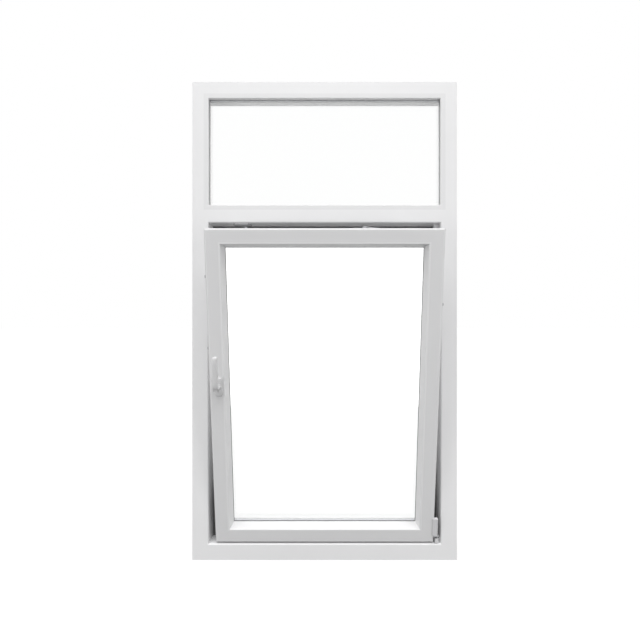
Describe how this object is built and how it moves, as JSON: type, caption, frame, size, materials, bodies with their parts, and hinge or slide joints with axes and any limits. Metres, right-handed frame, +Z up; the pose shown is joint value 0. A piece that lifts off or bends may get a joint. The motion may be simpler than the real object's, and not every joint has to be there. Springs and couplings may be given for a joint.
{
  "type": "tilt and turn window with a fixed top light",
  "caption": "White plastic window: a fixed light over a tilt and turn sash, shown tilted inwards, with double glazing, lever handle, drive gear, stay arm and lower hinge.",
  "frame": {"origin": "middle of the frame's flat underside, at half its width and half its depth", "axes": "+X right as seen from the room, +Y from the room to the outside, +Z up"},
  "size_m": [1, 0.2389, 1.806],
  "materials": {
    "frame_plastic": "satin white window plastic",
    "sash_plastic": "satin white window plastic",
    "bead_plastic": "satin white window plastic",
    "cap_plastic": "moulded white plastic",
    "rubber_seal": "matt black rubber",
    "glazing_rubber": "matt light grey rubber",
    "clear_glass": "clear float glass",
    "spacer_aluminium": "mill finish",
    "plated_steel": "zinc plated",
    "handle_finish": "white powder coat",
    "hinge_finish": "pale grey powder coat"
  },
  "bodies": {
    "root": {"frame_sill": "frame_plastic", "frame_head": "frame_plastic", "frame_jamb_left": "frame_plastic", "frame_jamb_right": "frame_plastic", "transom": "frame_plastic", "frame_gasket": "rubber_seal", "fixed_pane_inner": "clear_glass", "fixed_pane_outer": "clear_glass", "fixed_spacer": "spacer_aluminium", "fixed_gasket_inner": "glazing_rubber", "fixed_gasket_outer": "glazing_rubber", "fixed_bead_top": "bead_plastic", "fixed_bead_bottom": "bead_plastic", "fixed_bead_left": "bead_plastic", "fixed_bead_right": "bead_plastic", "sash_rail_top": "sash_plastic", "sash_rail_bottom": "sash_plastic", "sash_stile_handle": "sash_plastic", "sash_stile_hinge": "sash_plastic", "sash_pane_inner": "clear_glass", "sash_pane_outer": "clear_glass", "sash_spacer": "spacer_aluminium", "sash_gasket_inner": "glazing_rubber", "sash_gasket_outer": "glazing_rubber", "sash_bead_top": "bead_plastic", "sash_bead_bottom": "bead_plastic", "sash_bead_left": "bead_plastic", "sash_bead_right": "bead_plastic", "corner_drives": "plated_steel", "gear_rails": "plated_steel", "locking_cams": "plated_steel", "jamb_keeps": "plated_steel", "top_keep": "plated_steel", "handle_rose": "handle_finish", "handle_lever": "handle_finish", "stay_arm": "plated_steel", "stay_slider": "plated_steel", "stay_bearing": "hinge_finish", "hinge_pivot_block": "hinge_finish", "hinge_sash_bracket": "plated_steel", "hinge_cover": "hinge_finish", "drain_caps": "cap_plastic"}
  },
  "joints": []
}
